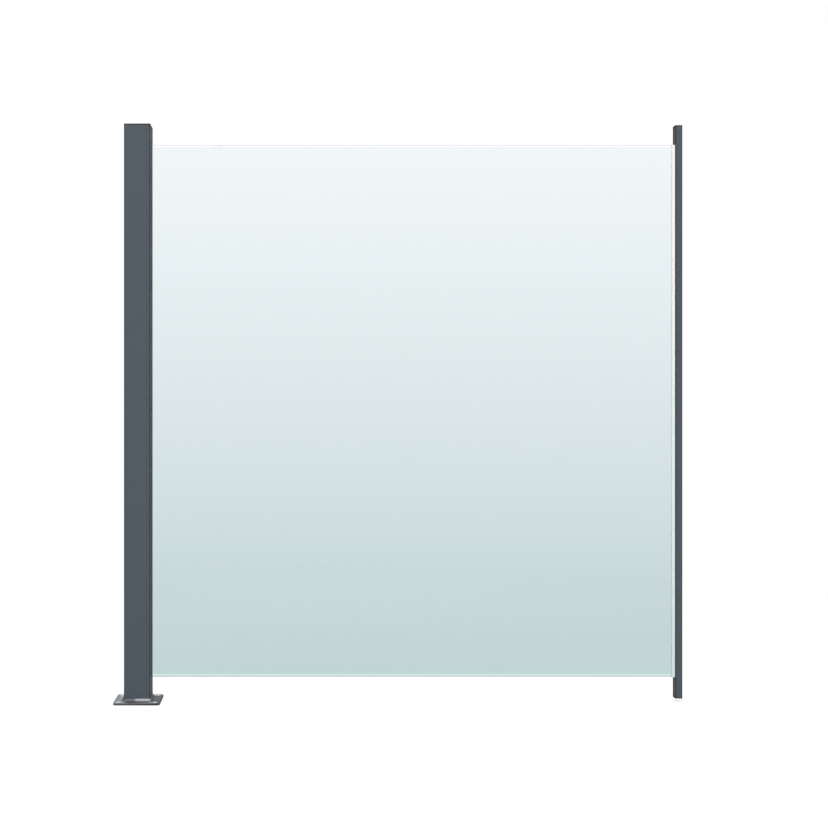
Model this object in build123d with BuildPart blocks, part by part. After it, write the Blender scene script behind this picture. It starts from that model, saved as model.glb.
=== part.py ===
from build123d import *
import os

# One bay of a glass railing: an aluminium post on a cast foot, a pane held in
# the post's glazing groove, and a slim channel that carries the pane's other
# edge on a wall. X runs along the bay from the post to the wall, Y runs through
# the glass with the front face at -Y, Z is up. The origin is the centre of the
# foot's underside. All sizes are in millimetres.

# Layout
railing_height = 1100.0
clear_bay = 1000.0

# Glass pane
glass_thickness = 8.0
pane_bottom = 46.0
pane_top_drop = 37.0
pane_bite = 9.0
bevel_width = 4.4
bevel_depth = 0.8
arris_width = 0.8

# Foot casting
foot_side = 88.0
foot_thickness = 4.0
foot_corner_radius = 4.0
foot_edge_break = 0.5
anchor_spacing = 70.0
anchor_hole_diameter = 9.0
boss_height = 5.0
boss_margin = 0.5
boss_flare = 4.5
boss_corner_radius = 2.5
boss_root_radius = 4.0

# Post extrusion
post_width = 50.0
post_depth = 50.0
post_wall = 2.0
post_corner_radius = 1.2
groove_clearance = 5.0
gasket_thickness = 3.0

# Screw ports inside the post, and the holes for the screws that come up through the foot
port_bore_diameter = 5.0
port_wall = 1.6
port_skin = 0.6
port_mouth = 2.4
port_spacing = 24.0
foot_screw_hole_diameter = 6.5
foot_screw_head_diameter = 12.0
foot_screw_head_angle = 90.0

# Glazing bead that snaps into the post's front
bead_width = 6.4
bead_wall = 1.8
bead_gap = 0.1
joint_chamfer = 0.5
clip_mouth = 2.4
clip_depth = 4.0
clip_wall = 2.0
clip_offset = 5.0
clip_play = 0.2
clip_barb = 0.3
clip_barb_length = 1.2

# Wall channel
channel_width = 13.5
channel_wall = 2.0
channel_bottom = 6.0
channel_edge_radius = 0.5
wall_screw_hole_diameter = 5.5
wall_screw_count = 4
wall_screw_margin = 100.0

# Gaskets and the slots that hold them
slot_inset = 2.6
slot_width = 2.0
slot_depth = 1.0
slot_play = 0.1
gasket_base = 1.2
gasket_mouth_lip = 1.2
fin_thickness = 0.7
fin_lean = 0.6
fin_pitch = 2.3
fin_count = 3
cover_lip_length = 4.8
cover_lip_root = 1.2
cover_lip_tip = 0.6

# Caps
post_cap_thickness = 2.0
post_cap_edge_break = 0.4
cap_leg_length = 12.0
cap_leg_thickness = 1.5
cap_leg_width = 11.0
cap_leg_play = 0.2
channel_cap_thickness = 1.5
channel_cap_plug = 6.0
channel_cap_wall = 1.5

# Blocks below and above the pane
block_play = 0.15
block_inset = 0.6
block_wall = 1.6

# Places worked out from the sizes above
post_face = post_width / 2
post_back = post_depth / 2
post_foot = foot_thickness + boss_height
post_top = railing_height - post_cap_thickness
groove_half = glass_thickness / 2 + gasket_thickness
groove_floor = post_face - pane_bite - groove_clearance
bead_joint = post_face - bead_width
clip_line = -groove_half - clip_offset
clip_floor = bead_joint - clip_depth
port_radius = port_bore_diameter / 2 + port_wall
port_row = post_back - post_wall - port_skin - port_bore_diameter / 2

channel_mouth = post_face + clear_bay
wall_face = channel_mouth + channel_width
channel_floor = wall_face - channel_wall
channel_half = groove_half + channel_wall
channel_low = channel_bottom + channel_cap_thickness
channel_high = railing_height - channel_cap_thickness
channel_middle = (channel_bottom + railing_height) / 2

pane_top = railing_height - pane_top_drop
pane_start = post_face - pane_bite
pane_end = channel_mouth + pane_bite


def corners(vertices, x, y):
    """The vertices at one corner, or at corners that mirror it, of a plan centred on the post."""
    return [v for v in vertices if abs(abs(v.X) - x) < 0.01 and abs(abs(v.Y) - y) < 0.01]


def band(start, end, y, mode=Mode.ADD):
    """A rectangle of the plan from start to end along X, and from -y to y."""
    with Locations(((start + end) / 2, 0)):
        Rectangle(abs(end - start), 2 * y, mode=mode)


def seat_slot(mouth, inward, side):
    """Cuts the slot that a gasket's foot snaps into, in one wall of a groove."""
    middle = mouth + inward * (slot_inset + slot_width / 2)
    with Locations((middle, side * groove_half)):
        Rectangle(slot_width, 2 * slot_depth, mode=Mode.SUBTRACT)


def gasket(mouth, inward, side, low, high, cover_lip):
    """One gasket: a base on the groove's wall with a foot in its slot, a lip at the mouth,
    and fins that lean inwards onto the glass. With a cover lip, a thin tongue also lies on
    the glass outside the groove.

    u runs into the groove from its mouth, v from the groove's wall to the glass.
    """
    foot_start = slot_inset + slot_play
    foot_end = slot_inset + slot_width - slot_play
    foot_tip = slot_play - slot_depth
    first_root = gasket_mouth_lip + fin_pitch - fin_thickness
    roots = [first_root + fin * fin_pitch for fin in range(fin_count)]
    outline = [(0, 0), (foot_start, 0), (foot_start, foot_tip), (foot_end, foot_tip)]
    outline += [(foot_end, 0), (roots[-1] + fin_thickness, 0)]
    for root in reversed(roots):
        outline += [
            (root + fin_thickness, gasket_base),
            (root + fin_thickness + fin_lean, gasket_thickness),
            (root + fin_lean, gasket_thickness),
            (root, gasket_base),
        ]
    outline += [(gasket_mouth_lip, gasket_base), (gasket_mouth_lip, gasket_thickness)]
    if cover_lip:
        outline += [
            (-cover_lip_length, gasket_thickness),
            (-cover_lip_length, gasket_thickness - cover_lip_tip),
            (0, gasket_thickness - cover_lip_root),
        ]
    else:
        outline += [(0, gasket_thickness)]
    with BuildPart() as strip:
        with BuildSketch(Plane.XY.offset(low)):
            with BuildLine():
                Polyline(
                    *[(mouth + inward * u, side * (groove_half - v)) for u, v in outline],
                    close=True,
                )
            make_face()
        extrude(amount=high - low)
    return strip


def groove_block(face, back, half, low, high):
    """A block that stands in a groove: a U in plan, open to the groove's floor."""
    towards_face = 1 if face > back else -1
    with BuildPart() as block:
        with BuildSketch(Plane.XY.offset(low)):
            band(back, face, half)
            band(back, face - towards_face * block_wall, half - block_wall, Mode.SUBTRACT)
        extrude(amount=high - low)
    return block


def channel_cap(end, outward):
    """A cap on one end of the wall channel: a plate over its section, and a hollow plug in it."""
    with BuildPart() as cap:
        with BuildSketch(Plane.XY.offset(end)) as plate:
            band(channel_mouth, wall_face, channel_half)
            edges = corners(plate.vertices(), channel_mouth, channel_half)
            fillet(edges, channel_edge_radius)
        extrude(amount=outward * channel_cap_thickness)
        with BuildSketch(Plane.XY.offset(end)):
            band(channel_mouth + block_inset, channel_floor - block_play, groove_half - block_play)
            offset(amount=-channel_cap_wall, kind=Kind.INTERSECTION, mode=Mode.SUBTRACT)
        extrude(amount=-outward * channel_cap_plug)
    return cap


# Foot: a square cast plate with a bevelled boss that the post stands on
with BuildPart() as foot_plate:
    with BuildSketch():
        RectangleRounded(foot_side, foot_side, foot_corner_radius)
    extrude(amount=foot_thickness)
    chamfer(foot_plate.faces().sort_by(Axis.Z)[-1].edges(), foot_edge_break)
    with BuildSketch(Plane.XY.offset(foot_thickness)):
        RectangleRounded(
            post_width + 2 * (boss_margin + boss_flare),
            post_depth + 2 * (boss_margin + boss_flare),
            boss_corner_radius + boss_flare,
        )
    with BuildSketch(Plane.XY.offset(post_foot)):
        RectangleRounded(post_width + 2 * boss_margin, post_depth + 2 * boss_margin, boss_corner_radius)
    loft()
    # The casting's hollow curve round the foot of the boss
    around_boss = foot_plate.faces().filter_by_position(Axis.Z, foot_thickness, foot_thickness)[0]
    fillet(around_boss.inner_wires()[0].edges(), boss_root_radius)
    # Holes for the anchors into the floor
    with GridLocations(anchor_spacing, anchor_spacing, 2, 2):
        Hole(anchor_hole_diameter / 2)
    # Countersunk holes, from below, for the screws into the post
    with Locations(Plane.XY.rotated((180, 0, 0))):
        with GridLocations(port_spacing, 2 * port_row, 2, 2):
            CounterSinkHole(
                foot_screw_hole_diameter / 2,
                foot_screw_head_diameter / 2,
                counter_sink_angle=foot_screw_head_angle,
            )

# Post: one extrusion with the glazing groove, the bead's seat and four screw ports
with BuildPart() as post:
    with BuildSketch(Plane.XY.offset(post_foot)) as post_section:
        with BuildLine():
            Polyline(
                (-post_face, -post_back),
                (bead_joint - joint_chamfer, -post_back),
                (bead_joint, -post_back + joint_chamfer),
                (bead_joint, -groove_half),
                (groove_floor, -groove_half),
                (groove_floor, groove_half),
                (post_face, groove_half),
                (post_face, post_back),
                (-post_face, post_back),
                close=True,
            )
        make_face()
        offset(amount=-post_wall, kind=Kind.INTERSECTION, mode=Mode.SUBTRACT)
        # Pocket in the bead's seat for the bead's barbed leg
        with Locations((bead_joint - (clip_depth + clip_wall) / 2, clip_line)):
            Rectangle(clip_depth + clip_wall, clip_mouth + 2 * clip_wall)
        with Locations((bead_joint - clip_depth / 2, clip_line)):
            Rectangle(clip_depth, clip_mouth, mode=Mode.SUBTRACT)
        with GridLocations(port_spacing, 2 * port_row, 2, 2):
            Circle(port_radius)
        with GridLocations(port_spacing, 2 * port_row, 2, 2):
            Circle(port_bore_diameter / 2, mode=Mode.SUBTRACT)
        # Each port is open towards the middle of the post
        with GridLocations(port_spacing, 2 * (port_row - port_radius / 2), 2, 2):
            Rectangle(port_mouth, port_radius, mode=Mode.SUBTRACT)
        seat_slot(post_face, -1, 1)
        fillet(corners(post_section.vertices(), post_face, post_back), post_corner_radius)
    extrude(amount=post_top - post_foot)

# Glazing bead: a hollow strip with a barbed leg that snaps into the post
with BuildPart() as glazing_bead:
    with BuildSketch(Plane.XY.offset(post_foot)) as bead_section:
        bead_back = bead_joint + bead_gap
        with BuildLine():
            Polyline(
                (bead_back + joint_chamfer, -post_back),
                (post_face, -post_back),
                (post_face, -groove_half),
                (bead_back, -groove_half),
                (bead_back, -post_back + joint_chamfer),
                close=True,
            )
        make_face()
        offset(amount=-bead_wall, kind=Kind.INTERSECTION, mode=Mode.SUBTRACT)
        leg_tip = clip_floor + clip_play
        barb_half = clip_mouth / 2 - clip_play
        leg_half = barb_half - clip_barb
        with BuildLine():
            Polyline(
                (bead_back, clip_line - leg_half),
                (leg_tip + clip_barb_length, clip_line - leg_half),
                (leg_tip + clip_barb_length, clip_line - barb_half),
                (leg_tip, clip_line - leg_half),
                (leg_tip, clip_line + leg_half),
                (leg_tip + clip_barb_length, clip_line + barb_half),
                (leg_tip + clip_barb_length, clip_line + leg_half),
                (bead_back, clip_line + leg_half),
                close=True,
            )
        make_face()
        seat_slot(post_face, -1, -1)
        fillet(corners(bead_section.vertices(), post_face, post_back), post_corner_radius)
    extrude(amount=post_top - post_foot)

# Post cap: a flat lid with four legs that grip the walls of the hollow post
with BuildPart() as post_cap:
    with BuildSketch(Plane.XY.offset(post_top)):
        RectangleRounded(post_width, post_depth, post_corner_radius)
    extrude(amount=post_cap_thickness)
    chamfer(post_cap.faces().sort_by(Axis.Z)[-1].edges(), post_cap_edge_break)
    with BuildSketch(Plane.XY.offset(post_top)):
        leg_reach = post_wall + cap_leg_play + cap_leg_thickness / 2
        with Locations((0, leg_reach - post_back), (0, post_back - leg_reach)):
            Rectangle(cap_leg_width, cap_leg_thickness)
        with Locations((leg_reach - post_face, 0), (groove_floor - leg_reach, 0)):
            Rectangle(cap_leg_thickness, cap_leg_width)
    extrude(amount=-cap_leg_length)

# Post gaskets: black rubber strips that run the whole height of the groove
post_gasket_front = gasket(post_face, -1, -1, post_foot, post_top, cover_lip=False)
post_gasket_back = gasket(post_face, -1, 1, post_foot, post_top, cover_lip=False)

# Blocks in the post's groove: the lower one carries the pane, the upper one keeps it down
post_block = (post_face - block_inset, groove_floor + block_play, glass_thickness / 2 - block_play)
post_setting_block = groove_block(*post_block, post_foot, pane_bottom)
post_filler_block = groove_block(*post_block, pane_top, post_top)

# Pane: a sheet of clear glass. The edges that show, at its top and bottom, have a wide
# ground bevel on both faces, and the upright edges that sit in the grooves a fine arris
with BuildPart() as glass_pane:
    with BuildSketch(Plane.XZ.offset(-glass_thickness / 2)):
        with Locations(((pane_start + pane_end) / 2, (pane_bottom + pane_top) / 2)):
            Rectangle(pane_end - pane_start, pane_top - pane_bottom)
    extrude(amount=glass_thickness)
    for side in (0, -1):
        face = glass_pane.faces().sort_by(Axis.Y)[side]
        chamfer(face.edges().filter_by(Axis.X), bevel_width, bevel_depth, reference=face)
    upright = glass_pane.edges().filter_by(Axis.Z)
    chamfer(upright.group_by(Axis.X)[0] + upright.group_by(Axis.X)[-1], arris_width)

# Wall channel: a U extrusion with its gasket slots, drilled for the screws into the wall
with BuildPart() as wall_channel:
    with BuildSketch(Plane.XY.offset(channel_low)) as channel_section:
        band(channel_mouth, wall_face, channel_half)
        with Locations(((channel_mouth + channel_floor) / 2, 0)):
            Rectangle(channel_floor - channel_mouth, 2 * groove_half, mode=Mode.SUBTRACT)
        seat_slot(channel_mouth, 1, -1)
        seat_slot(channel_mouth, 1, 1)
        fillet(corners(channel_section.vertices(), channel_mouth, channel_half), channel_edge_radius)
    extrude(amount=channel_high - channel_low)
    screw_run = channel_high - channel_low - 2 * wall_screw_margin
    screw_pitch = screw_run / (wall_screw_count - 1)
    with BuildSketch(Plane.YZ.offset(wall_face)):
        with Locations((0, channel_middle)):
            with GridLocations(0, screw_pitch, 1, wall_screw_count):
                Circle(wall_screw_hole_diameter / 2)
    extrude(amount=-channel_wall, mode=Mode.SUBTRACT)

# Channel gaskets: clear strips as long as the pane, whose lip shows beside the channel
channel_gasket_front = gasket(channel_mouth, 1, -1, pane_bottom, pane_top, cover_lip=True)
channel_gasket_back = gasket(channel_mouth, 1, 1, pane_bottom, pane_top, cover_lip=True)

# Caps on the channel's ends
channel_top_cap = channel_cap(channel_high, 1)
channel_bottom_cap = channel_cap(channel_low, -1)

# Blocks in the channel, between the caps' plugs and the pane
channel_block = (channel_mouth + block_inset, channel_floor - block_play, groove_half - block_play)
channel_setting_block = groove_block(*channel_block, channel_low + channel_cap_plug, pane_bottom)
channel_filler_block = groove_block(*channel_block, pane_top, channel_high - channel_cap_plug)

pieces = {
    "foot_plate": foot_plate,
    "post": post,
    "glazing_bead": glazing_bead,
    "post_cap": post_cap,
    "post_gasket_front": post_gasket_front,
    "post_gasket_back": post_gasket_back,
    "post_setting_block": post_setting_block,
    "post_filler_block": post_filler_block,
    "glass_pane": glass_pane,
    "wall_channel": wall_channel,
    "channel_gasket_front": channel_gasket_front,
    "channel_gasket_back": channel_gasket_back,
    "channel_setting_block": channel_setting_block,
    "channel_filler_block": channel_filler_block,
    "channel_top_cap": channel_top_cap,
    "channel_bottom_cap": channel_bottom_cap,
}

os.makedirs("parts", exist_ok=True)
for name, piece in pieces.items():
    piece.part.label = name
    export_step(piece.part, f"parts/{name}.step")
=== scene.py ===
import math

import bpy
import numpy as np
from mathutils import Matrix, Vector


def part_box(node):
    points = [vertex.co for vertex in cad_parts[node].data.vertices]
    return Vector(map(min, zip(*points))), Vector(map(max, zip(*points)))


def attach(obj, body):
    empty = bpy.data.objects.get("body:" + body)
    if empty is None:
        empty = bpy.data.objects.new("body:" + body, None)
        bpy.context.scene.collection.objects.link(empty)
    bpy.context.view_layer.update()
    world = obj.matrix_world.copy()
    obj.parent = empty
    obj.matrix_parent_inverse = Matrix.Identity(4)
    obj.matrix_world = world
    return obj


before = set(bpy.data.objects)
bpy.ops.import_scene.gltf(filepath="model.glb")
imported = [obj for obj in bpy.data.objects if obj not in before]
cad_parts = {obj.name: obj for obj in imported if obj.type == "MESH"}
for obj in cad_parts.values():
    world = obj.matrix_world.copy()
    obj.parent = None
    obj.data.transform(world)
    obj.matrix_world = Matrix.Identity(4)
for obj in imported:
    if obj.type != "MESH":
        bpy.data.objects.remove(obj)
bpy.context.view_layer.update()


# Foot
# A square plate of cast aluminium with a bevelled boss that the post stands on. The top is
# polished on a wheel and the cast edge is left dull. Reflections are painted into the metal's
# colour, with a painted highlight on the boss and a painted glint in the anchor holes.

class Socket:
    """A shader socket, so that sums and products of masks are written as expressions."""

    def __init__(self, finish, link):
        self.finish = finish
        self.link = link

    def math(self, operation, *values):
        return self.finish.node("ShaderNodeMath", {"operation": operation}, dict(enumerate(values)))

    def __add__(self, other):
        return self.math("ADD", self, other)

    def __radd__(self, other):
        return self.math("ADD", other, self)

    def __sub__(self, other):
        return self.math("SUBTRACT", self, other)

    def __rsub__(self, other):
        return self.math("SUBTRACT", other, self)

    def __mul__(self, other):
        return self.math("MULTIPLY", self, other)

    def __rmul__(self, other):
        return self.math("MULTIPLY", other, self)

    def __truediv__(self, other):
        return self.math("DIVIDE", self, other)

    def __abs__(self):
        return self.math("ABSOLUTE", self)

    def most(self, other):
        return self.math("MAXIMUM", self, other)

    def least(self, other):
        return self.math("MINIMUM", self, other)


class Nodes:
    """The nodes of one material, or of the studio around the railing."""

    def __init__(self, owner):
        owner.use_nodes = True
        self.tree = owner.node_tree

    def feed(self, inlet, value):
        """Links an inlet, or sets its own value."""
        if isinstance(value, Socket):
            self.tree.links.new(value.link, inlet)
        else:
            inlet.default_value = value

    def node(self, kind, settings, sockets, output=0):
        """Adds a node: its settings and a ramp's stops first, then its sockets."""
        node = self.tree.nodes.new(kind)
        for name, value in settings.items():
            if name == "stops":
                while len(node.color_ramp.elements) < len(value):
                    node.color_ramp.elements.new(1.0)
                for stop, (position, shade) in zip(node.color_ramp.elements, value):
                    stop.position = position
                    stop.color = shade
            else:
                setattr(node, name, value)
        for name, value in sockets.items():
            self.feed(node.inputs[name], value)
        return Socket(self, node.outputs[output])

    def step(self, value, low, high):
        """0 below low, 1 above high, and a smooth rise between them."""
        ends = {"Value": value, "From Min": low, "From Max": high}
        return self.node("ShaderNodeMapRange", {"interpolation_type": "SMOOTHSTEP"}, ends)


class Finish(Nodes):
    """The finish of a piece: a Principled shader and what varies over the surface."""

    def __init__(self, name, gloss):
        self.material = bpy.data.materials.new(name)
        super().__init__(self.material)
        self.shader = self.tree.nodes["Principled BSDF"]
        self.wear(**gloss)
        self.place = self.node("ShaderNodeTexCoord", {}, {}, "Object")
        self.x, self.y, self.z = (
            self.node("ShaderNodeSeparateXYZ", {}, {0: self.place}, axis) for axis in "XYZ"
        )

    def wear(self, **sockets):
        """Feeds the shader: an underscore in a name stands for the space in the socket's."""
        for name, value in sockets.items():
            self.feed(self.shader.inputs[name.replace("_", " ")], value)

    def noise(self, scale, detail, stretch=(1.0, 1.0, 1.0)):
        """Cloudy noise from 0 to 1 of so many features a metre, drawn out where stretch is small."""
        place = self.node("ShaderNodeMapping", {}, {"Vector": self.place, "Scale": stretch})
        return self.node("ShaderNodeTexNoise", {}, {"Vector": place, "Scale": scale, "Detail": detail})

    def blend(self, share, first, second):
        """The first colour, turned to the second by share."""
        return self.node("ShaderNodeMix", {"data_type": "RGBA"}, {0: share, 6: first, 7: second}, 2)

    def bump(self, *layers):
        """A normal raised by each layer's height times its depth in metres."""
        normal = None
        for height, depth in layers:
            sockets = {"Height": height, "Distance": depth}
            if normal:
                sockets["Normal"] = normal
            normal = self.node("ShaderNodeBump", {}, sockets)
        return normal

    def dress(self, *names):
        """Puts the finish on CAD nodes."""
        for name in names:
            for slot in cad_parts[name].material_slots:
                slot.material = self.material


def colour(red, green, blue):
    return (red, green, blue, 1.0)


plate_half = 0.044
plate_top = 0.004
post_half = 0.025
boss_half = 0.0305
rim_width = 0.0006
anchor_place = 0.035
anchor_radius = 0.0045
anchor_edge = 0.0003

# The painted highlight streak on the boss: its middle and its reach along x and z, and where
# it fades, as a share of that reach, squared.
streak_middle = (0.011, 0.0078)
streak_reach = (0.015, 0.0013)
streak_fade = (0.5, 1.3)

# Where one shade gives way to the next, each from the start to the end of the change. Most
# of them place painted reflection, painted highlights and painted shade.
darkening = (-0.026, 0.034)
underside = (0.001, 0.002)
strip_width = (boss_half, boss_half + 0.002)
strip_ends = (0.023, 0.037)
boss_foot = (plate_top + 0.0002, plate_top + 0.0008)
boss_turn = (-0.008, 0.002)
flank = (post_half, post_half + 0.002)
hand_reach = (0.036, 0.039)

polish = Finish("polished_casting", {"Metallic": 1.0, "Specular_Tint": colour(0.42, 0.43, 0.45)})
clouds = polish.noise(45.0, 3.0)
wheel_lines = polish.noise(500.0, 2.0, (0.1, 1.0, 1.0))

# Painted reflections: the plate is painted bright at the free side and darker towards the
# glass, with painted highlight strips along the front and the back. The boss is painted from
# dark to grey below the post, with one painted highlight streak, and painted shade again
# beside the glass.
painted_light_towards_glass = polish.step(polish.x, *darkening)
plate = polish.blend(painted_light_towards_glass, colour(0.38, 0.39, 0.40), colour(0.135, 0.14, 0.15))
# Painted highlight strips along the front and the back of the plate.
painted_highlight_strip = polish.step(abs(polish.y), *strip_width) * (1 - polish.step(abs(polish.x), *strip_ends))
painted_highlight_strip = painted_highlight_strip * polish.step(polish.z, *underside)
strip_painted_highlight = polish.blend(painted_light_towards_glass, colour(0.54, 0.55, 0.56), colour(0.98, 0.98, 0.98))
plate = polish.blend(painted_highlight_strip, plate, strip_painted_highlight)
# Painted reflection on the boss, from dark to grey below the post.
boss_painted_turn = polish.step(polish.x, *boss_turn)
boss = polish.blend(boss_painted_turn, colour(0.062, 0.068, 0.078), colour(0.23, 0.236, 0.246))
# A painted highlight streak across the boss's front slope.
along = (polish.x - streak_middle[0]) / streak_reach[0]
up = (polish.z - streak_middle[1]) / streak_reach[1]
painted_streak = 1 - polish.step(along * along + up * up, *streak_fade)
boss = polish.blend(painted_streak, boss, colour(0.30, 0.306, 0.316))
# Painted shade on the boss beside the glass.
boss = polish.blend(polish.step(polish.x, *flank), boss, colour(0.09, 0.095, 0.102))
metal = polish.blend(polish.step(polish.z, *boss_foot), plate, boss)
metal = polish.blend(0.35 * clouds, metal, colour(0.24, 0.245, 0.26))

# The wheel doesn't reach the middle, which is worked by hand and a little rougher. The cast
# rim stays dull, and is painted dark, in painted shade that deepens towards the glass. The
# anchor holes' walls carry a painted bright glint: there the distance from a hole's middle
# is compared as a square.
from_middle = abs(polish.x).most(abs(polish.y))
hand_worked = 1 - polish.step(from_middle, *hand_reach)
rim = polish.step(from_middle, plate_half - rim_width, plate_half - rim_width / 3)
from_hole_x = abs(polish.x) - anchor_place
from_hole_y = abs(polish.y) - anchor_place
from_hole = from_hole_x * from_hole_x + from_hole_y * from_hole_y
painted_hole_glint = 1 - polish.step(from_hole, anchor_radius ** 2, (anchor_radius + anchor_edge) ** 2)
# Painted shade on the rim, deeper towards the glass.
rim_shade = polish.blend(painted_light_towards_glass, colour(0.085, 0.088, 0.094), colour(0.052, 0.054, 0.058))
metal = polish.blend(rim, metal, rim_shade)
metal = polish.blend(painted_hole_glint, metal, colour(0.93, 0.935, 0.94))
polish.wear(
    Base_Color=metal,
    Roughness=0.20 + 0.14 * clouds + 0.05 * wheel_lines + 0.2 * rim + 0.15 * hand_worked,
    Normal=polish.bump((wheel_lines, 0.000006), (clouds, 0.00004)),
)
polish.dress("foot_plate")


# Foot screws
# Four countersunk stainless screws of 6 mm with a hexagon socket, driven up through the
# foot into the ports of the post, where they cut their own thread.

head_radius = 0.0057
head_face = 0.0002
socket_size = 0.004
socket_depth = 0.0021
shank_radius = 0.003
plain_shank = 0.004
root_radius = 0.0023
thread_pitch = 0.001
tip_radius = 0.0012
tip_length = 0.001
edge_break = 0.0001
screw_length = 0.032
port_x = 0.012
port_y = 0.0199


def screw_rings(columns=24, rows_a_turn=6):
    """The screw as rings of points from the middle of its socket to its tip.

    The profile gives a radius and a height for each ring. In the socket the radius is
    that of a hexagon: half its size divided by the cosine of the angle from the nearest
    flat's middle. On the thread the radius rises from root to crest and back once a
    pitch, and the whole wave climbs one pitch in one turn.
    """
    angle = np.linspace(0, 2 * math.pi, columns, endpoint=False)
    flat = (angle + math.pi / 6) % (math.pi / 3) - math.pi / 6
    hexagon = socket_size / 2 / np.cos(flat)
    cone = head_radius - shank_radius
    thread_start = head_face + cone + plain_shank
    round_profile = [
        (head_radius - edge_break, head_face),
        (head_radius, head_face + edge_break),
        (shank_radius, head_face + cone),
        (shank_radius, thread_start),
    ]
    floor = np.stack([hexagon, np.full(columns, head_face + socket_depth)], 1)
    rim = np.stack([hexagon, np.full(columns, head_face)], 1)
    plain = [np.tile(point, (columns, 1)) for point in round_profile]
    rows = int((screw_length - thread_start) / thread_pitch * rows_a_turn)
    height = np.linspace(thread_start + 2 * edge_break, screw_length - tip_length, rows)[:, None]
    wave = (height / thread_pitch - angle / (2 * math.pi)) % 1.0
    crest = 1 - np.abs(2 * wave - 1)
    radius = root_radius + (shank_radius - root_radius) * crest
    thread = np.stack([radius, np.broadcast_to(height, radius.shape)], 2)
    tip = [np.tile((tip_radius, screw_length), (columns, 1))]
    profile = np.concatenate([np.stack([floor, rim] + plain), thread, np.stack(tip)])
    return np.stack(
        [profile[..., 0] * np.cos(angle), profile[..., 0] * np.sin(angle), profile[..., 1]], 2
    )


def closed_mesh(name, shells):
    """One mesh from shells of rings. Neighbouring rings are joined by quads, and the first
    and last ring of each shell are closed by triangles to a point at their middle."""
    points, faces, count = [], [], 0
    for rings in shells:
        rows, columns = rings.shape[:2]
        ring_row, column = np.meshgrid(np.arange(rows - 1), np.arange(columns), indexing="ij")
        after = (column + 1) % columns
        corner = ring_row * columns
        quads = np.stack(
            [corner + column, corner + after, corner + columns + after, corner + columns + column], 2
        )
        start, end = rows * columns, rows * columns + 1
        along = np.arange(columns)
        following = (along + 1) % columns
        last = (rows - 1) * columns
        first_cap = np.stack([np.full(columns, start), following, along], 1)
        last_cap = np.stack([np.full(columns, end), last + along, last + following], 1)
        middles = np.stack([rings[0].mean(0), rings[-1].mean(0)])
        points.append(np.concatenate([rings.reshape(-1, 3), middles]))
        faces += (quads.reshape(-1, 4) + count).tolist()
        faces += (np.concatenate([first_cap, last_cap]) + count).tolist()
        count += rows * columns + 2
    mesh = bpy.data.meshes.new(name)
    mesh.from_pydata(np.concatenate(points).tolist(), [], faces)
    mesh.shade_smooth()
    mesh.set_sharp_from_angle(angle=math.radians(35))
    piece = bpy.data.objects.new(name, mesh)
    bpy.context.scene.collection.objects.link(piece)
    return piece


one_screw = screw_rings()
four_screws = [
    one_screw + np.array([x, y, 0.0]) for x in (-port_x, port_x) for y in (-port_y, port_y)
]
foot_screws = closed_mesh("foot_screws", four_screws)
steel = Finish("stainless_steel", {"Metallic": 1.0})
turning_marks = steel.noise(1500.0, 2.0, (0.3, 0.3, 1.0))
steel.wear(
    Base_Color=steel.blend(turning_marks, colour(0.46, 0.46, 0.45), colour(0.60, 0.60, 0.59)),
    Roughness=0.22 + 0.2 * turning_marks,
    Normal=steel.bump((turning_marks, 0.00001)),
)
foot_screws.data.materials.append(steel.material)
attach(foot_screws, "root")


# Post and glazing bead
# Aluminium extrusions with an anthracite powder coat. The coat has a fine grain and faint
# lines from the extrusion show through it. Painted shade darkens it along the corners, and
# the bead is painted a little lighter than the post, as a painted highlight.

anthracite = colour(0.067, 0.085, 0.103)
# The bead's colour is a painted highlight, a little lighter than the post's.
bead_painted_highlight = colour(0.073, 0.091, 0.108)
corner_shade = colour(0.036, 0.043, 0.050)
corner_band = 0.0022
corner_fade = 0.0006


def powder_coat(name, base, corners_of):
    """The powder coat on one piece. corners_of gives 1 where painted shade darkens its corners."""
    coat = Finish(name, {"Specular_IOR_Level": 0.16})
    grain = coat.noise(1300.0, 3.0)
    lines = coat.noise(420.0, 1.0, (1.0, 1.0, 0.004))
    clouds = coat.noise(9.0, 2.0)
    corners = corners_of(coat)
    rubbed = coat.blend(
        0.08 * lines + 0.08 * clouds + 0.10 * grain, base, colour(0.125, 0.140, 0.152)
    )
    # Painted shade along the corners.
    coat.wear(
        Base_Color=coat.blend(corners, rubbed, corner_shade),
        Roughness=0.50 + 0.10 * clouds + 0.08 * grain + 0.2 * corners,
        Normal=coat.bump((grain, 0.00010), (lines, 0.00004)),
    )
    return coat


def post_corners(coat):
    """1 where both x and y are near half the post's width."""
    nearer = abs(coat.x).least(abs(coat.y))
    band_start = post_half - corner_band
    return coat.step(nearer, band_start - corner_fade, band_start + corner_fade)


powder_coat("post_coat", anthracite, post_corners).dress("post")
powder_coat("bead_coat", bead_painted_highlight, post_corners).dress("glazing_bead")


# Caps
# Moulded plastic with a fine grain, pushed into the extrusions by hand: a nearly black lid
# on the post, and an anthracite plug at each end of the wall channel.

for name, deep, pale, pieces in (
    ("post_lid_plastic", colour(0.004, 0.005, 0.006), colour(0.014, 0.015, 0.017), ["post_cap"]),
    (
        "channel_plug_plastic",
        colour(0.014, 0.016, 0.019),
        colour(0.028, 0.031, 0.035),
        ["channel_top_cap", "channel_bottom_cap"],
    ),
):
    plastic = Finish(name, {"Specular_IOR_Level": 0.18})
    mould_grain = plastic.noise(2200.0, 2.0)
    scuffs = plastic.noise(120.0, 4.0)
    plastic.wear(
        Base_Color=plastic.blend(0.5 * mould_grain + 0.3 * scuffs, deep, pale),
        Roughness=0.5 + 0.2 * mould_grain,
        Normal=plastic.bump((mould_grain, 0.00003)),
    )
    plastic.dress(*pieces)


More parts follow.
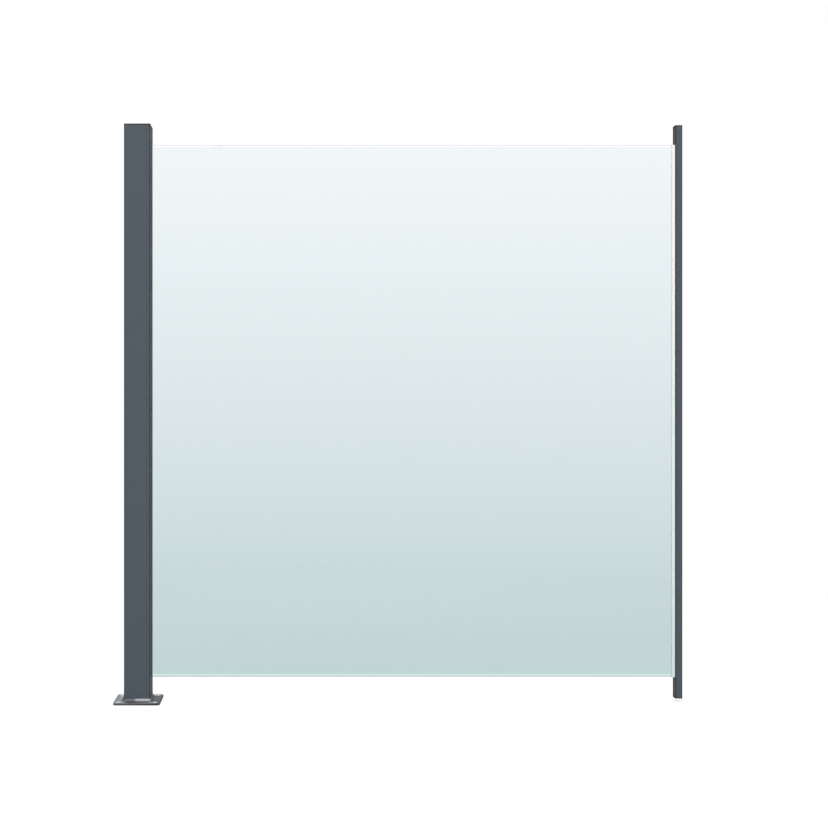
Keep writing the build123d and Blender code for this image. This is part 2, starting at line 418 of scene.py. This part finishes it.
# Post gaskets
# Strips of black extruded rubber that snap into the groove's walls and grip the glass.
# They are matt, with faint lines along their length and a little dust.

rubber = Finish("glazing_rubber", {"Specular_IOR_Level": 0.3})
rubber_lines = rubber.noise(1600.0, 2.0, (1.0, 1.0, 0.01))
dust = rubber.noise(60.0, 4.0)
rubber.wear(
    Base_Color=rubber.blend(0.5 * dust, colour(0.014, 0.014, 0.015), colour(0.05, 0.05, 0.052)),
    Roughness=0.62 + 0.18 * dust,
    Normal=rubber.bump((rubber_lines, 0.00004)),
)
rubber.dress("post_gasket_front", "post_gasket_back")


# Setting and filler blocks
# Moulded black plastic blocks that stand loose in the grooves: the lower ones carry the
# pane and the upper ones keep it down.

block = Finish("block_plastic", {"Specular_IOR_Level": 0.3})
block_grain = block.noise(700.0, 3.0)
block.wear(
    Base_Color=block.blend(block_grain, colour(0.022, 0.023, 0.025), colour(0.042, 0.044, 0.047)),
    Roughness=0.5 + 0.2 * block_grain,
    Normal=block.bump((block_grain, 0.00006)),
)
block.dress(
    "post_setting_block", "post_filler_block", "channel_setting_block", "channel_filler_block"
)


# Pane
# Tempered float glass, 8 mm thick, clear with a pale green cast, and painted shade that darkens
# it towards the bottom. Its top and bottom edges are ground to a bevel, whose light and shade
# are painted as fine grey, pale and deep green lines.

pane_low, pane_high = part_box("glass_pane")
pane_height = pane_high.z - pane_low.z
glass = Finish("clear_glass", {"Transmission_Weight": 1.0, "IOR": 1.5, "Roughness": 0.0})
# The pale green of the glass, with painted shade deepening towards the bottom.
cast_and_painted_shade = [
    (0.00, colour(0.496, 0.620, 0.620)),
    (0.08, colour(0.515, 0.621, 0.628)),
    (0.13, colour(0.538, 0.640, 0.651)),
    (0.24, colour(0.590, 0.698, 0.707)),
    (0.35, colour(0.640, 0.735, 0.750)),
    (0.70, colour(0.765, 0.850, 0.865)),
    (1.00, colour(0.880, 0.930, 0.945)),
]
from_bottom = glass.z - pane_low.z
from_top = pane_high.z - glass.z
tint_and_painted_light = glass.node("ShaderNodeValToRGB", {"stops": cast_and_painted_shade}, {0: from_bottom / pane_height})
softness = 0.0002
ground_depth = (0.00002, 0.00008)
ground_share = 0.8
# Painted highlight and painted shade lines of the bevel along the top and the bottom.
for from_edge, start, end, shade in (
    (from_bottom, -0.001, 0.0019, colour(0.59, 0.635, 0.64)),
    (from_bottom, 0.0019, 0.0057, colour(0.62, 0.755, 0.745)),
    (from_bottom, 0.0057, 0.0114, colour(0.475, 0.635, 0.61)),
    (from_top, -0.001, 0.0019, colour(0.82, 0.83, 0.84)),
    (from_top, 0.0019, 0.0038, colour(0.975, 0.98, 0.985)),
    (from_top, 0.0038, 0.0056, colour(0.84, 0.86, 0.87)),
):
    line = glass.step(from_edge, start - softness, start + softness)
    line = line * (1 - glass.step(from_edge, end - softness, end + softness))
    tint_and_painted_light = glass.blend(line, tint_and_painted_light, shade)
glass.wear(Base_Color=tint_and_painted_light)
scratches = glass.noise(700.0, 3.0)
ground_edge = glass.node(
    "ShaderNodeBsdfPrincipled",
    {},
    {
        "Base Color": glass.blend(scratches, colour(0.50, 0.66, 0.63), colour(0.66, 0.80, 0.77)),
        "Roughness": 0.55 + 0.2 * scratches,
    },
)
ground = 1 - glass.step(from_bottom.least(from_top), *ground_depth)
clear_body = Socket(glass, glass.shader.outputs[0])
frosted = ground_share * ground
surface = glass.node("ShaderNodeMixShader", {}, {0: frosted, 1: clear_body, 2: ground_edge})

# Light that falls on the pieces and on the floor goes straight through the pane.
straight = glass.node("ShaderNodeBsdfTransparent", {}, {"Color": colour(0.93, 0.955, 0.955)})
for ray in ("Is Diffuse Ray", "Is Shadow Ray"):
    such_ray = glass.node("ShaderNodeLightPath", {}, {}, ray)
    surface = glass.node("ShaderNodeMixShader", {}, {0: such_ray, 1: surface, 2: straight})
glass.feed(glass.tree.nodes["Material Output"].inputs["Surface"], surface)
glass.dress("glass_pane")


# Wall channel
# A slim U extrusion of aluminium, screwed to the wall through its web, that carries the
# pane's far edge. It has the same coat as the post, with painted shade along its edges.

channel_low, channel_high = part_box("wall_channel")
mouth_band = 0.0020
wall_band = 0.0012
band_fade = 0.0004


def channel_edges(coat):
    """Painted shade: 1 along the edges of the mouth, and less along the edges at the wall."""
    mouth_end = channel_low.x + mouth_band
    wall_start = channel_high.x - wall_band
    mouth = 1 - coat.step(coat.x, mouth_end - band_fade, mouth_end + band_fade)
    wall = coat.step(coat.x, wall_start - band_fade, wall_start + band_fade)
    return mouth.most(0.3 * wall)


powder_coat("channel_coat", anthracite, channel_edges).dress("wall_channel")


# Channel gaskets
# Strips of clear soft seal, a little milky, pressed between the channel and the glass. The
# lip lies on the glass beside the channel. Its colour carries painted shade that darkens
# towards the bottom with the pane's, and where it touches the glass it is painted pale, as
# painted light.

seal = Finish(
    "clear_seal",
    {
        "Subsurface_Weight": 1.0,
        "Subsurface_Radius": (1.0, 1.0, 1.0),
        "Subsurface_Scale": 0.001,
        "Specular_IOR_Level": 0.2,
    },
)
milk = seal.noise(90.0, 3.0)
share_up = (seal.z - pane_low.z) / pane_height
painted_shade_of_pane = seal.blend(share_up, colour(0.75, 0.83, 0.835), colour(0.985, 0.99, 0.995))
milky_and_painted_shade = seal.blend(0.12 * milk, painted_shade_of_pane, colour(0.66, 0.71, 0.72))
# Painted light: the faces that lie on the glass are painted nearly white.
on_glass = 1 - seal.step(abs(seal.y), pane_high.y + 0.00005, pane_high.y + 0.0003)
seal.wear(
    Base_Color=seal.blend(on_glass, milky_and_painted_shade, colour(0.99, 0.995, 1.0)),
    Roughness=0.30 + 0.12 * milk,
    Normal=seal.bump((milk, 0.00005)),
)
seal.dress("channel_gasket_front", "channel_gasket_back")


# Studio
# A pale floor, soft light from above in front and behind, and the camera straight on. The
# lens shift lets it stand nearer to the post, which the picture shows square from the front.

picture_width = 828
lens_shift = 0.15
distance = 2.75
metres_a_pixel = 0.0019141
middle = Vector((0.5273, 0.0, 0.5489))

scene = bpy.context.scene
scene.view_settings.view_transform = "Standard"

picture = picture_width * metres_a_pixel
lens = bpy.data.cameras.new("camera")
lens.sensor_width = 36.0
lens.lens = lens.sensor_width * distance / picture
lens.shift_x = lens_shift
camera = bpy.data.objects.new("camera", lens)
camera.location = (middle.x - lens_shift * picture, -distance, middle.z)
camera.rotation_euler = (math.radians(90), 0, 0)
scene.collection.objects.link(camera)
scene.camera = camera


def seen(nodes):
    """1 where the camera looks straight at it, through glass or by a reflection."""
    camera_ray, glossy, through = (
        nodes.node("ShaderNodeLightPath", {}, {}, f"Is {ray} Ray")
        for ray in ("Camera", "Glossy", "Transmission")
    )
    return camera_ray.most(glossy).most(through)


world = bpy.data.worlds.new("studio")
scene.world = world
sky = Nodes(world)
white = colour(1.0, 1.0, 1.0)
soft_light = sky.node("ShaderNodeBackground", {}, {"Color": white, "Strength": 0.55})
white_wall = sky.node("ShaderNodeBackground", {}, {"Color": white, "Strength": 1.0})
around = sky.node("ShaderNodeMixShader", {}, {0: seen(sky), 1: soft_light, 2: white_wall})
sky.feed(sky.tree.nodes["World Output"].inputs["Surface"], around)

floor_half = 30.0
floor_drop = 0.0002
shadow_fade = (1.0, 2.4)
turns = ((-1, -1), (1, -1), (1, 1), (-1, 1))
corners = [(x * floor_half, y * floor_half, 0.0) for x, y in turns]
floor_mesh = bpy.data.meshes.new("floor")
floor_mesh.from_pydata(corners, [], [(0, 1, 2, 3)])
floor = bpy.data.objects.new("floor", floor_mesh)
floor.location.z = -floor_drop
scene.collection.objects.link(floor)
floor_paint = bpy.data.materials.new("floor_paint")
paint = Nodes(floor_paint)
from_middle = paint.node(
    "ShaderNodeVectorMath",
    {"operation": "DISTANCE"},
    {0: paint.node("ShaderNodeTexCoord", {}, {}, "Object"), 1: (middle.x, 0.0, 0.0)},
    "Value",
)
matt = paint.node("ShaderNodeBsdfDiffuse", {}, {"Color": colour(0.8, 0.8, 0.8)})
shadowed = paint.node("ShaderNodeBsdfDiffuse", {}, {"Color": colour(0.35, 0.35, 0.35)})
glow = paint.node("ShaderNodeEmission", {}, {"Color": white, "Strength": 0.69})
near = paint.node("ShaderNodeAddShader", {}, {0: shadowed, 1: glow})
far = paint.node("ShaderNodeEmission", {}, {"Color": white, "Strength": 1.0})
fading = paint.step(from_middle, *shadow_fade)
pale = paint.node("ShaderNodeMixShader", {}, {0: fading, 1: near, 2: far})

# Where it is seen, the floor is white, with a faint shadow near the railing. To the light
# between the pieces it is plain and matt, and from below it is clear, so that the underside
# of the railing shows.
upper = paint.node("ShaderNodeMixShader", {}, {0: seen(paint), 1: matt, 2: pale})
below = paint.node("ShaderNodeNewGeometry", {}, {}, "Backfacing")
clear = paint.node("ShaderNodeBsdfTransparent", {}, {})
one_sided = paint.node("ShaderNodeMixShader", {}, {0: below, 1: upper, 2: clear})
paint.feed(paint.tree.nodes["Material Output"].inputs["Surface"], one_sided)
floor_mesh.materials.append(floor_paint)

# Three broad lamps, which only the gloss of the pieces shows.
lamp_size = 4.0
for name, place, power in (
    ("key_lamp", (-1.6, -3.0, 4.0), 100.0),
    ("front_lamp", (1.6, -3.0, 4.2), 68.0),
    ("back_lamp", (0.4, 3.2, 3.8), 60.0),
):
    lamp_shape = bpy.data.lights.new(name, "AREA")
    lamp_shape.size = lamp_size
    lamp_shape.energy = power
    lamp = bpy.data.objects.new(name, lamp_shape)
    lamp.location = place
    lamp.rotation_euler = (middle - lamp.location).to_track_quat("-Z", "Y").to_euler()
    lamp.visible_camera = False
    lamp.visible_transmission = False
    scene.collection.objects.link(lamp)
